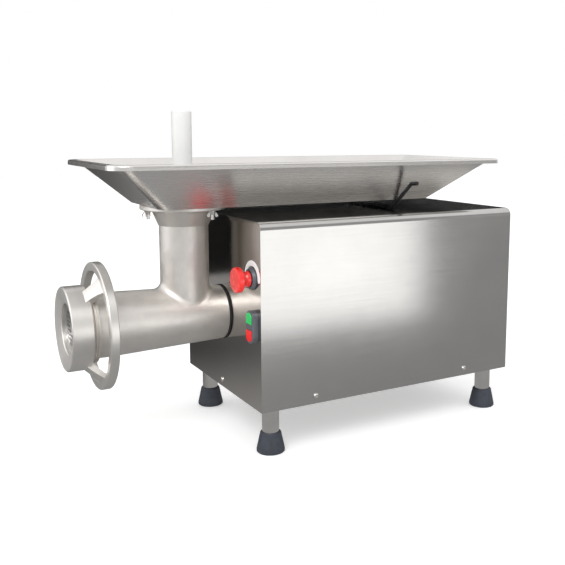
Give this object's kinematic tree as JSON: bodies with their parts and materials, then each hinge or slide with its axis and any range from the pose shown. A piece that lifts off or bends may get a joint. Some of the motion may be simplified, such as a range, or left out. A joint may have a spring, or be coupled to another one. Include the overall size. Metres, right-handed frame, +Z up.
{
  "type": "electric meat grinder",
  "caption": "Countertop electric meat grinder: horizontal steel head with ring nut and hand ring, throat with long tray and pusher, boxed drive on rubber feet.",
  "frame": {"origin": "on the floor under the centre of the overall bounding box", "axes": "+Z up, -Y the way the outlet faces, +X the side with the switches"},
  "size_m": [0.3222, 0.792, 0.546],
  "materials": {
    "casing_steel": "satin brushed stainless sheet",
    "panel_steel": "polished stainless sheet",
    "cast_steel": "satin cast metal",
    "nut_steel": "turned satin stainless",
    "tray_steel": "brushed stainless sheet",
    "leg_steel": "polished stainless tube",
    "foot_rubber": "matt moulded rubber",
    "seal_rubber": "black rubber",
    "bright_fasteners": "bright stainless",
    "zinc_fasteners": "zinc plated",
    "stand_black": "black coated rod",
    "screw_steel": "satin cast stainless",
    "knife_steel": "ground tool steel",
    "bush_bronze": "turned bronze",
    "case_aluminium": "as-cast aluminium",
    "shaft_steel": "ground steel",
    "gear_steel": "hobbed steel",
    "lamination_steel": "stacked laminations",
    "winding_copper": "varnished copper wire",
    "fan_plastic": "moulded plastic",
    "cowl_steel": "grey paint",
    "capacitor_can": "drawn can",
    "gland_plastic": "moulded nylon",
    "switch_grey": "moulded grey plastic",
    "estop_red": "moulded red plastic",
    "label_white": "plain white label",
    "start_green": "moulded green plastic",
    "stop_red": "moulded red plastic",
    "spring_steel": "spring wire",
    "pusher_white": "white food-grade plastic"
  },
  "bodies": {
    "casing": {"casing_cover": "casing_steel", "front_panel": "panel_steel", "rear_panel": "casing_steel", "base_pan": "casing_steel", "leg_tubes": "leg_steel", "rubber_feet": "foot_rubber", "casing_screws": "bright_fasteners", "grinder_head": "cast_steel", "barrel_seal": "seal_rubber", "shank_bush": "bush_bronze", "gearbox_front": "case_aluminium", "gearbox_middle": "case_aluminium", "gearbox_rear": "case_aluminium", "gearbox_bolts": "zinc_fasteners", "head_lock_screws": "zinc_fasteners", "ball_bearings": "shaft_steel", "output_seal": "seal_rubber", "motor_housing": "case_aluminium", "stator_core": "lamination_steel", "stator_windings": "winding_copper", "motor_end_shield": "case_aluminium", "motor_tie_bolts": "zinc_fasteners", "fan_cowl": "cowl_steel", "motor_cradle": "zinc_fasteners", "base_bolts": "zinc_fasteners", "contactor": "fan_plastic", "terminal_block": "fan_plastic", "run_capacitor": "capacitor_can", "capacitor_clip": "zinc_fasteners", "cable_gland": "gland_plastic", "estop_bezel": "switch_grey", "estop_label": "label_white", "contact_blocks": "fan_plastic", "panel_nuts": "zinc_fasteners", "switch_bezel": "switch_grey", "estop_spring": "spring_steel", "start_spring": "spring_steel", "stop_spring": "spring_steel", "tray": "tray_steel", "tray_stand": "stand_black"},
    "feed": {"feed_screw": "screw_steel", "knife": "knife_steel", "output_shaft": "shaft_steel", "output_gear": "gear_steel", "output_key": "shaft_steel"},
    "layshaft": {"layshaft": "shaft_steel", "layshaft_gear": "gear_steel"},
    "rotor": {"motor_shaft": "shaft_steel", "rotor_core": "lamination_steel", "cooling_fan": "fan_plastic"},
    "plate": {"hole_plate": "knife_steel"},
    "nut": {"ring_nut": "nut_steel"},
    "pusher": {"pusher": "pusher_white"},
    "estop_plunger": {"estop_plunger": "switch_grey"},
    "estop_button": {"estop_button": "estop_red"},
    "start_button": {"start_button": "start_green"},
    "stop_button": {"stop_button": "stop_red"},
    "wing_nut_front": {"wing_nut_front": "bright_fasteners"},
    "wing_nut_right": {"wing_nut_right": "bright_fasteners"},
    "wing_nut_left": {"wing_nut_left": "bright_fasteners"}
  },
  "joints": [
    {"name": "feed_spin", "type": "hinge", "parent": "casing", "child": "feed", "pos_m": [0, -0.234, 0.209], "axis": [0, -1, 0], "continuous": true},
    {"name": "layshaft_spin", "type": "hinge", "parent": "casing", "child": "layshaft", "pos_m": [0, -0.034, 0.284], "axis": [0, -1, 0], "continuous": true},
    {"name": "motor_spin", "type": "hinge", "parent": "casing", "child": "rotor", "pos_m": [0, 0.106, 0.209], "axis": [0, -1, 0], "continuous": true},
    {"name": "plate_advance", "type": "slide", "parent": "casing", "child": "plate", "axis": [0, -1, 0], "range_m": [0, 0.0245]},
    {"name": "nut_turn", "type": "hinge", "parent": "plate", "child": "nut", "pos_m": [0, -0.374, 0.209], "axis": [0, -1, 0], "range_deg": [0, 2160]},
    {"name": "pusher_lift", "type": "slide", "parent": "casing", "child": "pusher", "axis": [0, 0, 1], "range_m": [0, 0.215]},
    {"name": "estop_press", "type": "slide", "parent": "casing", "child": "estop_plunger", "axis": [0, 1, 0], "range_m": [0, 0.004], "stiffness_N_per_m": 1200, "springref_m": -0.002, "deforming": ["estop_spring"]},
    {"name": "estop_twist", "type": "hinge", "parent": "estop_plunger", "child": "estop_button", "pos_m": [0.128, -0.154, 0.286], "axis": [0, 1, 0], "range_deg": [0, 30], "stiffness_Nm_per_rad": 0.05},
    {"name": "start_press", "type": "slide", "parent": "casing", "child": "start_button", "axis": [0, 1, 0], "range_m": [0, 0.003], "stiffness_N_per_m": 600, "springref_m": -0.002, "deforming": ["start_spring"]},
    {"name": "stop_press", "type": "slide", "parent": "casing", "child": "stop_button", "axis": [0, 1, 0], "range_m": [0, 0.003], "stiffness_N_per_m": 600, "springref_m": -0.002, "deforming": ["stop_spring"]},
    {"name": "wing_nut_front_turn", "type": "hinge", "parent": "casing", "child": "wing_nut_front", "pos_m": [0, -0.258, 0.38], "axis": [0, 0, 1], "range_deg": [0, 720]},
    {"name": "wing_nut_right_turn", "type": "hinge", "parent": "casing", "child": "wing_nut_right", "pos_m": [0.05196, -0.168, 0.38], "axis": [0, 0, 1], "range_deg": [0, 720]},
    {"name": "wing_nut_left_turn", "type": "hinge", "parent": "casing", "child": "wing_nut_left", "pos_m": [-0.05196, -0.168, 0.38], "axis": [0, 0, 1], "range_deg": [0, 720]}
  ],
  "couplings": [
    {"joint": "layshaft_spin", "follows": "feed_spin", "ratio": -2.75},
    {"joint": "motor_spin", "follows": "feed_spin", "ratio": 8.7083},
    {"joint": "plate_advance", "follows": "nut_turn", "m_per_rad": 0.00063662}
  ]
}
